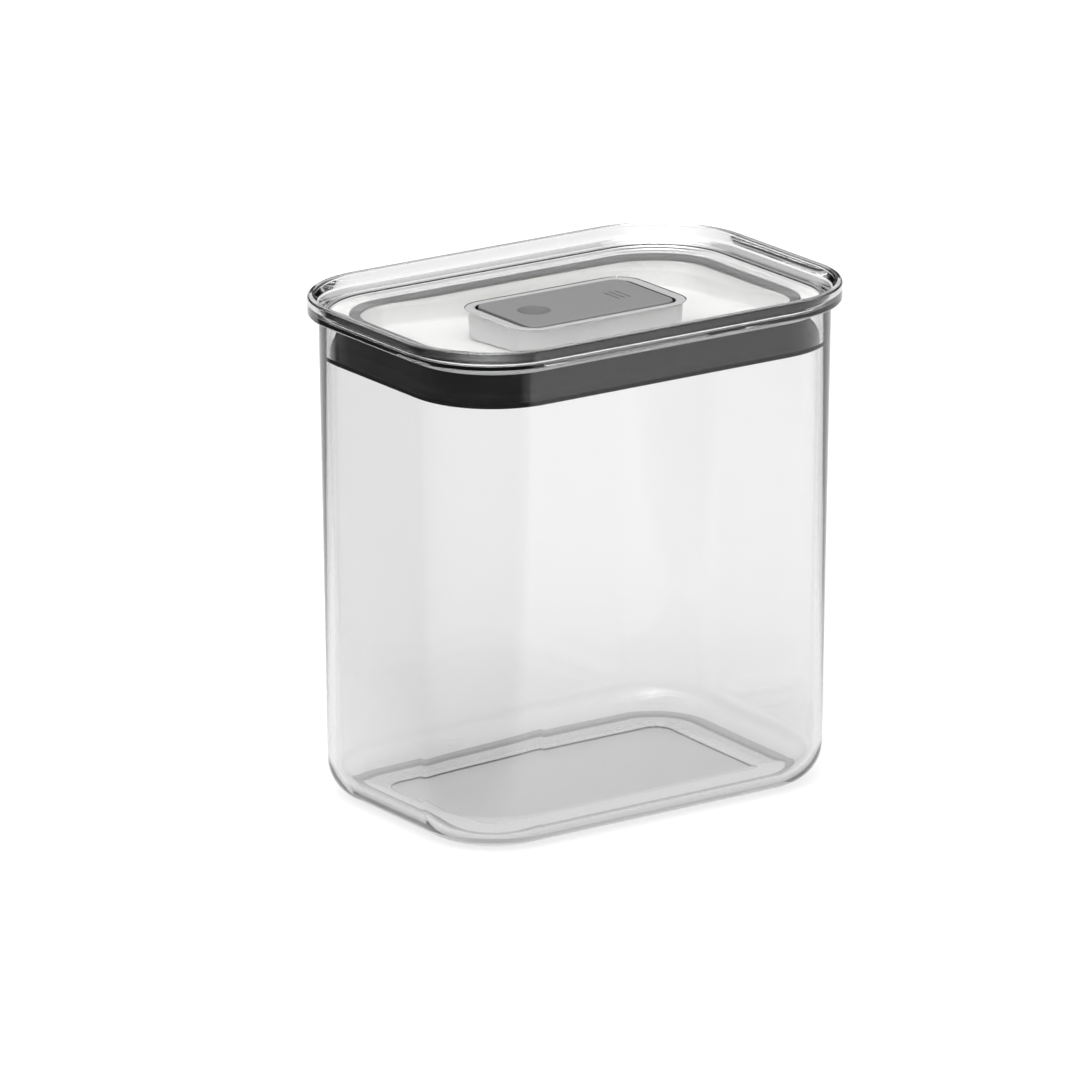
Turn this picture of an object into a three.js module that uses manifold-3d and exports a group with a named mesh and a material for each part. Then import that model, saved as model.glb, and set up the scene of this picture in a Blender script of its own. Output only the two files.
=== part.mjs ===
// Lidded storage canister with a rocker-operated airtight lid.
//
// Millimetres, +Z up, origin at the centre of the base. X runs along the long side.
// A clear container carries a clear cover. Under the cover hangs a white pan with a soft gasket round it.
// Pressing the dimple of the rocker tips it, its cams lower the pan, and the gasket relaxes.

import * as THREE from 'three';
import { ParametricGeometry } from 'three/addons/geometries/ParametricGeometry.js';
import { mergeVertices } from 'three/addons/utils/BufferGeometryUtils.js';
import Module from 'manifold-3d';

const wasm = await Module();
wasm.setup();

// ---------------------------------------------------------------- driving dimensions

// Overall
const LID_LENGTH = 165;             // along X, over the rim
const LID_WIDTH = 113.9;            // along Y, over the rim
const LID_CORNER = 33.9;            // corner radius of the rim in plan
const TOTAL_HEIGHT = 170;           // base to rim top
const FIT_GAP = 0.3;                // clearance between pieces that seat on or in each other

// Container
const LID_OVERHANG = 3.65;          // rim past the container's mouth
const CONTAINER_WALL = 2.5;
const CONTAINER_DRAFT = 2.24;       // narrowing of each side from mouth to base
const BASE_FILLET = 12.5;           // outside, between side and base
const INNER_FILLET = 10;            // inside, between side and floor
const FLOOR_THICKNESS = 3.2;        // base to inside floor
const FOOT_WIDTH = 9;               // flat ring that the container stands on
const BASE_RECESS = 0.8;            // depth of the recess within the foot
const MOUTH_ROUND = 1;

// Cover
const RIM_HEIGHT = 6.35;            // height of the rim's outer face
const RIM_TOP_WIDTH = 2.4;
const RIM_SLOPE = 3.7;              // run of the rim's inner face, in plan
const RIM_ROUND = 0.9;
const RIM_FOOT_ROUND = 1;           // between the rim's inner face and the panel
const PANEL_DROP = 5.8;             // rim top to panel top
const PANEL_THICKNESS = 2;
const PLUG_CLEARANCE = 0.45;        // plug to the container's inside

// Pan, its seal ring and the backing frame of the gasket
const PAN_MARGIN = 6.7;             // container's inside to the pan's wall
const PAN_CORNER = 23.4;
const PAN_WALL = 3.2;
const PAN_FLOOR = 1.8;
const PAN_INNER_FILLET = 3;
const PAN_PAD = 1.5;                // thicker pad under the floor, where the screws sit
const PAN_DEPTH = 11.7;             // panel underside to the pan's floor
const PAN_FLANGE_REACH = 2.2;       // flange that holds the gasket
const PAN_FLANGE_THICKNESS = 1.2;
const PAN_FLANGE_RISE = 0.7;        // pan floor to flange underside
const CHAMBER_SEAL_HEIGHT = 1;
const FRAME_THICKNESS = 1;
const FRAME_CLEARANCE = 0.9;        // frame to the container's inside

// Gasket
const GASKET_BODY_GAP = 3.85;       // container's inside to the gasket's body
const GASKET_LIP_HEIGHT = 1.6;
const GASKET_FLARE = 2.4;           // height over which the body widens to the lip
const GASKET_DEPTH = 12.3;          // panel underside to the gasket's lowest edge
const GASKET_ROUND = 0.35;

// Rocker
const ROCKER_LENGTH = 57.8;
const ROCKER_WIDTH = 33.8;
const ROCKER_CORNER = 4.6;
const ROCKER_PROUD = 0.3;           // rocker top above the cover's panel
const CAP_THICKNESS = 1.4;
const CAP_SKIRT = 1.1;              // wall of the cap round the core
const CAP_HEIGHT = 3.1;
const CAP_ROUND = 0.5;
const CORE_PLATE = 1.1;
const DIMPLE_RADIUS = 5.5;
const DIMPLE_DEPTH = 0.9;
const DIMPLE_FROM_END = 12.5;       // rocker's end to the dimple's centre
const GRIP_GROOVES = 3;
const GRIP_GROOVE_WIDTH = 0.8;
const GRIP_GROOVE_LENGTH = 9;
const GRIP_GROOVE_DEPTH = 0.35;
const GRIP_GROOVE_PITCH = 2.2;
const GRIP_FROM_END = 12.5;         // rocker's other end to the middle groove

// Well that the rocker sits in
const WELL_END_GAP = 1.5;           // rocker to well at its ends, where it swings
const WELL_SIDE_GAP = 0.7;
const WELL_CORNER = 6;
const WELL_END_WALL = 2.5;
const WELL_SIDE_WALL = 1.6;
const WELL_OUTER_CORNER = 8.1;
const WELL_FLOOR = 2.2;
const WELL_BOTTOM_ROUND = 1.8;
const WELL_INNER_ROUND = 1;
const FLANGE_OVERHANG = 1;
const FLANGE_THICKNESS = 1;
const FLANGE_BEVEL = 0.3;

// Pivot, cams and posts
const PIVOT_X = -8;                 // pivot to the middle of the rocker
const PIN_RADIUS = 1.6;
const HUB_RADIUS = 3.4;
const CAM_SUPPORT = 4.9;            // pin centre to the well's floor, less the fit gap
const CAM_TRAVEL = 4.5;             // drop of the pan for each radian of tilt
const CAM_TILT = 16;                // degrees of tilt that the cam serves
const CAM_INNER = 4;              // middle of the rocker to the nearest face of each cam
const CAM_WIDTH = 4.2;
const CAM_HEEL = 1;                 // cam past its line of contact, towards the rocker's far end
const POST_RADIUS = 2.2;
const POST_GAP = 0.4;               // cam to post
const POST_EYE_RADIUS = 2.9;
const POST_EYE_WIDTH = 3.6;
const EAR_WIDTH = 2;
const POST_SEAL_WIDTH = 1.2;
const POST_SEAL_HEIGHT = 1;
const SCREW_SHANK_RADIUS = 1.1;
const SCREW_HEAD_RADIUS = 2.5;
const SCREW_HEAD_HEIGHT = 1.2;
const SCREW_BITE = 3.2;             // length of the screw inside the post
const SCREW_SOCKET_RADIUS = 1.2;
const SCREW_SOCKET_DEPTH = 0.7;
const SCREW_BEVEL = 0.3;

// Fineness of the curved faces
const CORNER_STEPS = 7;
const FILLET_STEPS = 3;
const ROUND_SEGMENTS = 24;
const CAM_STEPS = 4;

// ---------------------------------------------------------------- heights and outlines

const rimBottom = TOTAL_HEIGHT - RIM_HEIGHT;
const mouth = rimBottom - FIT_GAP;
const panelTop = TOTAL_HEIGHT - PANEL_DROP;
const panelBottom = panelTop - PANEL_THICKNESS;
const sealTop = panelBottom - FIT_GAP;
const panWallTop = sealTop - CHAMBER_SEAL_HEIGHT - FIT_GAP;
const frameBottom = sealTop - FRAME_THICKNESS;
const gasketTop = frameBottom - FIT_GAP;
const gasketBottom = panelBottom - GASKET_DEPTH;
const panFloorTop = panelBottom - PAN_DEPTH;
const panFloorBottom = panFloorTop - PAN_FLOOR;
const panPadBottom = panFloorBottom - PAN_PAD;
const flangeBottom = panFloorTop + PAN_FLANGE_RISE;
const flangeTop = flangeBottom + PAN_FLANGE_THICKNESS;
const wellBottom = panFloorTop + FIT_GAP;
const wellFloorTop = wellBottom + WELL_FLOOR;
const pivotHeight = wellFloorTop + FIT_GAP + CAM_SUPPORT;
const rockerTop = panelTop + ROCKER_PROUD;
const capUnderside = rockerTop - CAP_THICKNESS;
const coreTop = capUnderside - FIT_GAP;
const coreBottom = coreTop - CORE_PLATE;
const postBottom = panFloorTop + FIT_GAP;
const postOffset = CAM_INNER + CAM_WIDTH + POST_GAP + POST_RADIUS;
const earInner = postOffset + POST_RADIUS + FIT_GAP;
const earOuter = earInner + EAR_WIDTH;

// A rounded rectangle in plan, by its half sizes and its corner radius.
const outline = (a, b, r) => ({ a, b, r });
const SMALLEST_CORNER = 0.4;
const inset = (o, d) => outline(o.a - d, o.b - d, Math.max(o.r - d, SMALLEST_CORNER));

const lidOutline = outline(LID_LENGTH / 2, LID_WIDTH / 2, LID_CORNER);
const mouthOutline = inset(lidOutline, LID_OVERHANG);
const insideOutline = inset(mouthOutline, CONTAINER_WALL);
const panOutline = outline(insideOutline.a - PAN_MARGIN, insideOutline.b - PAN_MARGIN, PAN_CORNER);
const rockerOutline = outline(ROCKER_LENGTH / 2, ROCKER_WIDTH / 2, ROCKER_CORNER);
const wellOpening = outline(rockerOutline.a + WELL_END_GAP, rockerOutline.b + WELL_SIDE_GAP, WELL_CORNER);
const wellOuter = outline(wellOpening.a + WELL_END_WALL, wellOpening.b + WELL_SIDE_WALL, WELL_OUTER_CORNER);
const flangeOutline = inset(wellOuter, -FLANGE_OVERHANG);

// Narrowing of the container's side at a height above the base.
const draftAt = (z) => CONTAINER_DRAFT * (1 - z / mouth);

// ---------------------------------------------------------------- solids

// A closed skin through rounded rectangles at given heights. A section is [outline, height], and a
// null outline is a point on the Z axis. The skin closes on two such points, or on its first section.
function loft(sections) {
  const around = 4 * (CORNER_STEPS + 1);
  const along = sections.length - 1;
  const place = (u, v, target) => {
    const station = Math.round(u * around) % around;
    const [shape, z] = sections[Math.round(v * along)];
    if (!shape) return target.set(0, 0, z);
    const corner = Math.floor(station / (CORNER_STEPS + 1));
    const step = station % (CORNER_STEPS + 1);
    const angle = (corner + step / CORNER_STEPS) * Math.PI / 2;
    const sideX = corner === 0 || corner === 3 ? 1 : -1;
    const sideY = corner < 2 ? 1 : -1;
    return target.set(
      sideX * (shape.a - shape.r) + shape.r * Math.cos(angle),
      sideY * (shape.b - shape.r) + shape.r * Math.sin(angle),
      z,
    );
  };
  return solid(new ParametricGeometry(place, around, along));
}

// A straight prism with a rounded rectangle as its section.
const block = (shape, low, high) => loft([[null, low], [shape, low], [shape, high], [null, high]]);

// Sections of a quarter-round edge. The offset runs from `from` to `to` and the height from `low`
// to `high`; `hollow` turns the bulge of the quarter round.
function edgeRound(base, from, to, low, high, hollow = false) {
  const sections = [];
  for (let i = 0; i <= FILLET_STEPS; i += 1) {
    const angle = (i / FILLET_STEPS) * Math.PI / 2;
    const across = hollow ? 1 - Math.cos(angle) : Math.sin(angle);
    const up = hollow ? Math.sin(angle) : 1 - Math.cos(angle);
    sections.push([inset(base, from + (to - from) * across), low + (high - low) * up]);
  }
  return sections;
}

// A closed geometry becomes a manifold solid: shared vertices merged, faces turned outwards.
function solid(geometry) {
  geometry.deleteAttribute('normal');
  geometry.deleteAttribute('uv');
  const merged = mergeVertices(geometry, 1e-4);
  const corners = merged.getAttribute('position').array;
  const index = merged.getIndex().array;
  const triangles = [];
  let volume = 0;
  const p = new THREE.Vector3();
  const q = new THREE.Vector3();
  const r = new THREE.Vector3();
  for (let i = 0; i < index.length; i += 3) {
    const [a, b, c] = [index[i], index[i + 1], index[i + 2]];
    if (a === b || b === c || c === a) continue;
    triangles.push([a, b, c]);
    p.fromArray(corners, 3 * a);
    q.fromArray(corners, 3 * b);
    r.fromArray(corners, 3 * c);
    volume += p.dot(q.cross(r));
  }
  const turned = volume < 0 ? triangles.map(([a, b, c]) => [a, c, b]) : triangles;
  const mesh = new wasm.Mesh({
    numProp: 3,
    vertProperties: new Float32Array(corners),
    triVerts: new Uint32Array(turned.flat()),
  });
  return new wasm.Manifold(mesh);
}

// An outline in the X-Z plane, extruded along Y.
function across(shape, yLow, yHigh) {
  const depth = yHigh - yLow;
  const settings = { depth, bevelEnabled: false, curveSegments: ROUND_SEGMENTS / 2 };
  return solid(new THREE.ExtrudeGeometry(shape, settings).rotateX(Math.PI / 2).translate(0, yHigh, 0));
}

// A round bar along Z or along Y.
const upright = (radius, low, high, x, y, segments = ROUND_SEGMENTS) => solid(
  new THREE.CylinderGeometry(radius, radius, high - low, segments)
    .rotateX(Math.PI / 2).translate(x, y, (low + high) / 2),
);
const crossbar = (radius, halfLength, x, z) => solid(
  new THREE.CylinderGeometry(radius, radius, 2 * halfLength, ROUND_SEGMENTS).translate(x, 0, z),
);

// A profile of [radius, height] points turned about an upright axis at (x, y).
function turned(profile, x, y) {
  const points = profile.map(([radius, z]) => new THREE.Vector2(radius, z));
  return solid(new THREE.LatheGeometry(points, ROUND_SEGMENTS).rotateX(Math.PI / 2).translate(x, y, 0));
}

// ---------------------------------------------------------------- container

function canisterBody() {
  const footOuter = CONTAINER_DRAFT + BASE_FILLET;
  const footInner = footOuter + FOOT_WIDTH;
  const sections = [
    [null, BASE_RECESS],
    [inset(mouthOutline, footInner + BASE_RECESS), BASE_RECESS],
    [inset(mouthOutline, footInner), 0],
  ];
  for (let i = 0; i <= 2 * FILLET_STEPS; i += 1) {
    const angle = (i / (2 * FILLET_STEPS)) * Math.PI / 2;
    const z = BASE_FILLET * (1 - Math.cos(angle));
    sections.push([inset(mouthOutline, draftAt(z) + BASE_FILLET * (1 - Math.sin(angle))), z]);
  }
  sections.push(...edgeRound(mouthOutline, MOUTH_ROUND, 0, mouth, mouth - MOUTH_ROUND).reverse());
  sections.push(...edgeRound(
    mouthOutline, CONTAINER_WALL - MOUTH_ROUND, CONTAINER_WALL, mouth, mouth - MOUTH_ROUND,
  ));
  for (let i = 0; i <= 2 * FILLET_STEPS; i += 1) {
    const angle = (i / (2 * FILLET_STEPS)) * Math.PI / 2;
    const z = FLOOR_THICKNESS + INNER_FILLET * (1 - Math.sin(angle));
    const depth = draftAt(z) + CONTAINER_WALL + INNER_FILLET * (1 - Math.cos(angle));
    sections.push([inset(mouthOutline, depth), z]);
  }
  sections.push([null, FLOOR_THICKNESS]);
  return loft(sections);
}

// ---------------------------------------------------------------- cover and the frame under it

function lidCover() {
  const plug = LID_OVERHANG + CONTAINER_WALL + PLUG_CLEARANCE;
  const footStart = RIM_TOP_WIDTH + RIM_SLOPE;
  const cover = loft([
    [null, panelBottom],
    [inset(lidOutline, plug), panelBottom],
    [inset(lidOutline, plug), rimBottom],
    ...edgeRound(lidOutline, RIM_ROUND, 0, rimBottom, rimBottom + RIM_ROUND),
    ...edgeRound(lidOutline, RIM_ROUND, 0, TOTAL_HEIGHT, TOTAL_HEIGHT - RIM_ROUND).reverse(),
    [inset(lidOutline, RIM_TOP_WIDTH - RIM_ROUND / 2), TOTAL_HEIGHT],
    [inset(lidOutline, RIM_TOP_WIDTH), TOTAL_HEIGHT - RIM_ROUND / 2],
    ...edgeRound(
      lidOutline, footStart, footStart + RIM_FOOT_ROUND, panelTop + RIM_FOOT_ROUND, panelTop, true,
    ),
    [null, panelTop],
  ]);
  const opening = block(inset(wellOuter, -FIT_GAP), panelBottom - 1, panelTop + 1);
  const rebateFloor = panelTop - FLANGE_THICKNESS - FIT_GAP;
  const rebate = block(inset(flangeOutline, -FIT_GAP), rebateFloor, panelTop + 1);
  return cover.subtract(opening).subtract(rebate);
}

function gasketFrame() {
  const outer = inset(insideOutline, FRAME_CLEARANCE);
  const inner = inset(panOutline, -FIT_GAP);
  return loft([[outer, frameBottom], [outer, sealTop], [inner, sealTop], [inner, frameBottom], [outer, frameBottom]]);
}

// ---------------------------------------------------------------- pan, chamber seal and gasket

function pan() {
  const body = loft([
    [null, panPadBottom],
    [wellOuter, panPadBottom],
    [wellOuter, panFloorBottom],
    ...edgeRound(panOutline, PAN_INNER_FILLET, 0, panFloorBottom, flangeBottom - FIT_GAP),
    [panOutline, flangeBottom],
    [inset(panOutline, -PAN_FLANGE_REACH), flangeBottom],
    [inset(panOutline, -PAN_FLANGE_REACH), flangeTop],
    [panOutline, flangeTop],
    [panOutline, panWallTop],
    [inset(panOutline, PAN_WALL), panWallTop],
    ...edgeRound(
      panOutline, PAN_WALL, PAN_WALL + PAN_INNER_FILLET, panFloorTop + PAN_INNER_FILLET, panFloorTop, true,
    ),
    [null, panFloorTop],
  ]);
  return postPlaces.reduce((rest, y) => rest
    .subtract(upright(SCREW_SHANK_RADIUS + FIT_GAP, panPadBottom - 1, panFloorTop + 1, PIVOT_X, y))
    .subtract(upright(SCREW_HEAD_RADIUS + FIT_GAP, panPadBottom - 1, screwHeadTop + FIT_GAP, PIVOT_X, y)), body);
}

function chamberSeal() {
  const round = CHAMBER_SEAL_HEIGHT / 4;
  const low = panWallTop + FIT_GAP;
  return loft([
    [inset(panOutline, round), low],
    [panOutline, low + round],
    [panOutline, sealTop - round],
    [inset(panOutline, round), sealTop],
    [inset(panOutline, PAN_WALL - round), sealTop],
    [inset(panOutline, PAN_WALL), sealTop - round],
    [inset(panOutline, PAN_WALL), low + round],
    [inset(panOutline, PAN_WALL - round), low],
    [inset(panOutline, round), low],
  ]);
}

function sealGasket() {
  const lipTop = gasketBottom + GASKET_LIP_HEIGHT;
  const lipInset = draftAt(lipTop) + CONTAINER_WALL + FIT_GAP;
  const bodyInset = CONTAINER_WALL + GASKET_BODY_GAP;
  const groove = PAN_FLANGE_REACH + FIT_GAP;
  const flare = [];
  for (let i = 0; i <= FILLET_STEPS; i += 1) {
    const angle = (i / FILLET_STEPS) * Math.PI / 2;
    flare.push([
      inset(mouthOutline, bodyInset + (lipInset - bodyInset) * (1 - Math.cos(angle))),
      lipTop + GASKET_FLARE * (1 - Math.sin(angle)),
    ]);
  }
  return loft([
    [inset(panOutline, -FIT_GAP), gasketTop],
    [inset(mouthOutline, bodyInset + GASKET_ROUND), gasketTop],
    [inset(mouthOutline, bodyInset), gasketTop - GASKET_ROUND],
    ...flare,
    [inset(mouthOutline, lipInset), gasketBottom + GASKET_ROUND],
    [inset(mouthOutline, lipInset + GASKET_ROUND), gasketBottom],
    [inset(panOutline, -FIT_GAP), gasketBottom],
    [inset(panOutline, -FIT_GAP), flangeBottom - FIT_GAP],
    [inset(panOutline, -groove), flangeBottom - FIT_GAP],
    [inset(panOutline, -groove), flangeTop + FIT_GAP],
    [inset(panOutline, -FIT_GAP), flangeTop + FIT_GAP],
    [inset(panOutline, -FIT_GAP), gasketTop],
  ]);
}

// ---------------------------------------------------------------- well

const postPlaces = [-postOffset, postOffset];
const sealRecessRadius = POST_RADIUS + FIT_GAP + POST_SEAL_WIDTH + FIT_GAP;
const sealRecessFloor = wellFloorTop - POST_SEAL_HEIGHT - FIT_GAP;
const screwHeadTop = panPadBottom + SCREW_HEAD_HEIGHT + FIT_GAP / 2;

function handleWell() {
  const body = loft([
    [null, wellBottom],
    ...edgeRound(wellOuter, WELL_BOTTOM_ROUND, 0, wellBottom, wellBottom + WELL_BOTTOM_ROUND),
    [wellOuter, panelTop - FLANGE_THICKNESS],
    [flangeOutline, panelTop - FLANGE_THICKNESS],
    [flangeOutline, panelTop - FLANGE_BEVEL],
    [inset(flangeOutline, FLANGE_BEVEL), panelTop],
    [inset(wellOpening, -FLANGE_BEVEL), panelTop],
    [wellOpening, panelTop - FLANGE_BEVEL],
    ...edgeRound(wellOpening, 0, WELL_INNER_ROUND, wellFloorTop + WELL_INNER_ROUND, wellFloorTop, true),
    [null, wellFloorTop],
  ]);
  return postPlaces.reduce((rest, y) => rest
    .subtract(upright(POST_RADIUS + FIT_GAP, wellBottom - 1, wellFloorTop + 1, PIVOT_X, y))
    .subtract(upright(sealRecessRadius, sealRecessFloor, wellFloorTop + 1, PIVOT_X, y)), body);
}

// ---------------------------------------------------------------- posts, their seals and screws, pivot pin

function drawPost(y) {
  const reach = POST_EYE_RADIUS;
  const eyeShape = new THREE.Shape();
  eyeShape.moveTo(PIVOT_X - POST_RADIUS, pivotHeight - reach);
  eyeShape.lineTo(PIVOT_X + POST_RADIUS, pivotHeight - reach);
  eyeShape.lineTo(PIVOT_X + reach, pivotHeight);
  eyeShape.absarc(PIVOT_X, pivotHeight, reach, 0, Math.PI, false);
  const eye = across(eyeShape, y - POST_EYE_WIDTH / 2, y + POST_EYE_WIDTH / 2);
  const stem = upright(POST_RADIUS, postBottom, pivotHeight - reach / 2, PIVOT_X, y);
  return stem.add(eye)
    .subtract(crossbar(PIN_RADIUS + FIT_GAP, earOuter + 1, PIVOT_X, pivotHeight))
    .subtract(upright(SCREW_SHANK_RADIUS + FIT_GAP, postBottom - 1, postBottom + SCREW_BITE + FIT_GAP, PIVOT_X, y));
}

function postSeal(y) {
  const inner = POST_RADIUS + FIT_GAP;
  const outer = inner + POST_SEAL_WIDTH;
  const low = sealRecessFloor + FIT_GAP;
  const high = low + POST_SEAL_HEIGHT;
  const round = POST_SEAL_HEIGHT / 4;
  return turned([
    [inner, low + round], [inner + round, low], [outer - round, low], [outer, low + round],
    [outer, high - round], [outer - round, high], [inner + round, high], [inner, high - round],
    [inner, low + round],
  ], PIVOT_X, y);
}

function postScrew(y) {
  const low = screwHeadTop - SCREW_HEAD_HEIGHT;
  const tip = postBottom + SCREW_BITE;
  const screw = turned([
    [0, low], [SCREW_HEAD_RADIUS - SCREW_BEVEL, low], [SCREW_HEAD_RADIUS, low + SCREW_BEVEL],
    [SCREW_HEAD_RADIUS, screwHeadTop], [SCREW_SHANK_RADIUS, screwHeadTop],
    [SCREW_SHANK_RADIUS, tip - SCREW_BEVEL], [SCREW_SHANK_RADIUS - SCREW_BEVEL, tip], [0, tip],
  ], PIVOT_X, y);
  return screw.subtract(upright(SCREW_SOCKET_RADIUS, low - 1, low + SCREW_SOCKET_DEPTH, PIVOT_X, y, 6));
}

const pivotPin = () => crossbar(PIN_RADIUS, earOuter, PIVOT_X, pivotHeight);

// ---------------------------------------------------------------- rocker

// The cam's working edge is an involute, so that the pan's drop is proportional to the tilt.
// At a tilt t the well's floor touches it at distance CAM_SUPPORT - CAM_TRAVEL * t from the pin.
function camShape(top) {
  const shape = new THREE.Shape();
  shape.moveTo(PIVOT_X - HUB_RADIUS, top);
  shape.lineTo(PIVOT_X - HUB_RADIUS, pivotHeight);
  const fullTilt = THREE.MathUtils.degToRad(CAM_TILT);
  shape.absarc(PIVOT_X, pivotHeight, HUB_RADIUS, Math.PI, 1.5 * Math.PI - fullTilt, false);
  for (let i = CAM_STEPS; i >= 0; i -= 1) {
    const tilt = (fullTilt * i) / CAM_STEPS;
    const support = CAM_SUPPORT - CAM_TRAVEL * tilt;
    const x = -support * Math.sin(tilt) + CAM_TRAVEL * Math.cos(tilt);
    const z = -support * Math.cos(tilt) - CAM_TRAVEL * Math.sin(tilt);
    shape.lineTo(PIVOT_X + x, pivotHeight + z);
  }
  shape.lineTo(PIVOT_X + CAM_TRAVEL + CAM_HEEL, pivotHeight - CAM_SUPPORT + CAM_HEEL);
  shape.lineTo(PIVOT_X + CAM_TRAVEL + CAM_HEEL, top);
  shape.closePath();
  return shape;
}

function earShape(top) {
  const shape = new THREE.Shape();
  shape.moveTo(PIVOT_X + HUB_RADIUS, top);
  shape.lineTo(PIVOT_X - HUB_RADIUS, top);
  shape.lineTo(PIVOT_X - HUB_RADIUS, pivotHeight);
  shape.absarc(PIVOT_X, pivotHeight, HUB_RADIUS, Math.PI, 2 * Math.PI, false);
  shape.closePath();
  return shape;
}

function rockerCore() {
  const root = coreBottom + CORE_PLATE / 2;
  let core = block(inset(rockerOutline, CAP_SKIRT + FIT_GAP), coreBottom, coreTop);
  for (const side of [-1, 1]) {
    const span = (near, far) => (side > 0 ? [near, far] : [-far, -near]);
    core = core.add(across(camShape(root), ...span(CAM_INNER, CAM_INNER + CAM_WIDTH)));
    core = core.add(across(earShape(root), ...span(earInner, earOuter)));
  }
  return core.subtract(crossbar(PIN_RADIUS + FIT_GAP, earOuter + 1, PIVOT_X, pivotHeight));
}

function rockerCap() {
  const bottom = rockerTop - CAP_HEIGHT;
  let cap = loft([
    [null, capUnderside],
    [inset(rockerOutline, CAP_SKIRT), capUnderside],
    [inset(rockerOutline, CAP_SKIRT), bottom],
    [inset(rockerOutline, CAP_ROUND / 2), bottom],
    [rockerOutline, bottom + CAP_ROUND / 2],
    ...edgeRound(rockerOutline, CAP_ROUND, 0, rockerTop, rockerTop - CAP_ROUND).reverse(),
    [null, rockerTop],
  ]);
  const sphereRadius = (DIMPLE_RADIUS ** 2 + DIMPLE_DEPTH ** 2) / (2 * DIMPLE_DEPTH);
  const dimpleX = DIMPLE_FROM_END - rockerOutline.a;
  const dimpleSpan = 1.3 * Math.asin(DIMPLE_RADIUS / sphereRadius);
  const bowl = [[0, rockerTop + DIMPLE_DEPTH]];
  for (let i = 6; i >= 0; i -= 1) {
    const angle = (dimpleSpan * i) / 6;
    const z = rockerTop - DIMPLE_DEPTH + sphereRadius * (1 - Math.cos(angle));
    bowl.push([sphereRadius * Math.sin(angle), z]);
  }
  cap = cap.subtract(turned(bowl, dimpleX, 0));
  const grooveOutline = outline(GRIP_GROOVE_WIDTH / 2, GRIP_GROOVE_LENGTH / 2, GRIP_GROOVE_WIDTH / 2 - 0.01);
  for (let i = 0; i < GRIP_GROOVES; i += 1) {
    const x = rockerOutline.a - GRIP_FROM_END + (i - (GRIP_GROOVES - 1) / 2) * GRIP_GROOVE_PITCH;
    const groove = block(grooveOutline, rockerTop - GRIP_GROOVE_DEPTH, rockerTop + 1).translate([x, 0, 0]);
    cap = cap.subtract(groove);
  }
  return cap;
}

// ---------------------------------------------------------------- materials and assembly

const finish = (color, roughness, metalness = 0, opacity = 1) => new THREE.MeshStandardMaterial({
  color, roughness, metalness, opacity, transparent: opacity < 1,
});
const clearBody = finish(0xf2f4f4, 0.05, 0, 0.3);
const clearCover = finish(0xf4f6f6, 0.08, 0, 0.35);
const whitePlastic = finish(0xf4f4f2, 0.4);
const paleGrey = finish(0xcfcfcd, 0.45);
const ringGrey = finish(0xa8a8a6, 0.6);
const darkRubber = finish(0x3c3c3c, 0.65);
const matteGrey = finish(0x999998, 0.7);
const coreGrey = finish(0x5c5c5b, 0.6);
const steel = finish(0xb9bbbd, 0.3, 1);

const canister = new THREE.Group();

function addPiece(name, shape, material) {
  const mesh = shape.getMesh();
  const geometry = new THREE.BufferGeometry();
  geometry.setAttribute('position', new THREE.BufferAttribute(mesh.vertProperties, mesh.numProp));
  geometry.setIndex(new THREE.BufferAttribute(mesh.triVerts, 1));
  geometry.computeVertexNormals();
  const piece = new THREE.Mesh(geometry, material);
  piece.name = name;
  canister.add(piece);
}

addPiece('canister_body', canisterBody(), clearBody);
addPiece('lid_cover', lidCover(), clearCover);
addPiece('gasket_frame', gasketFrame(), whitePlastic);
addPiece('handle_well', handleWell(), paleGrey);
addPiece('seal_gasket', sealGasket(), darkRubber);
addPiece('chamber_seal', chamberSeal(), ringGrey);
addPiece('pan', pan(), whitePlastic);
addPiece('pivot_pin', pivotPin(), steel);
for (const [place, y] of [['front', -postOffset], ['back', postOffset]]) {
  addPiece(`draw_post_${place}`, drawPost(y), whitePlastic);
  addPiece(`post_seal_${place}`, postSeal(y), darkRubber);
  addPiece(`post_screw_${place}`, postScrew(y), steel);
}
addPiece('rocker_core', rockerCore(), coreGrey);
addPiece('rocker_cap', rockerCap(), matteGrey);

export default canister;
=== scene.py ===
"""Lidded canister: finished surfaces, materials, light and camera around its packed frame.

All lengths are in metres. X runs along the long side, the front is at -Y, and the canister stands on Z = 0.
"""
import math

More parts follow.
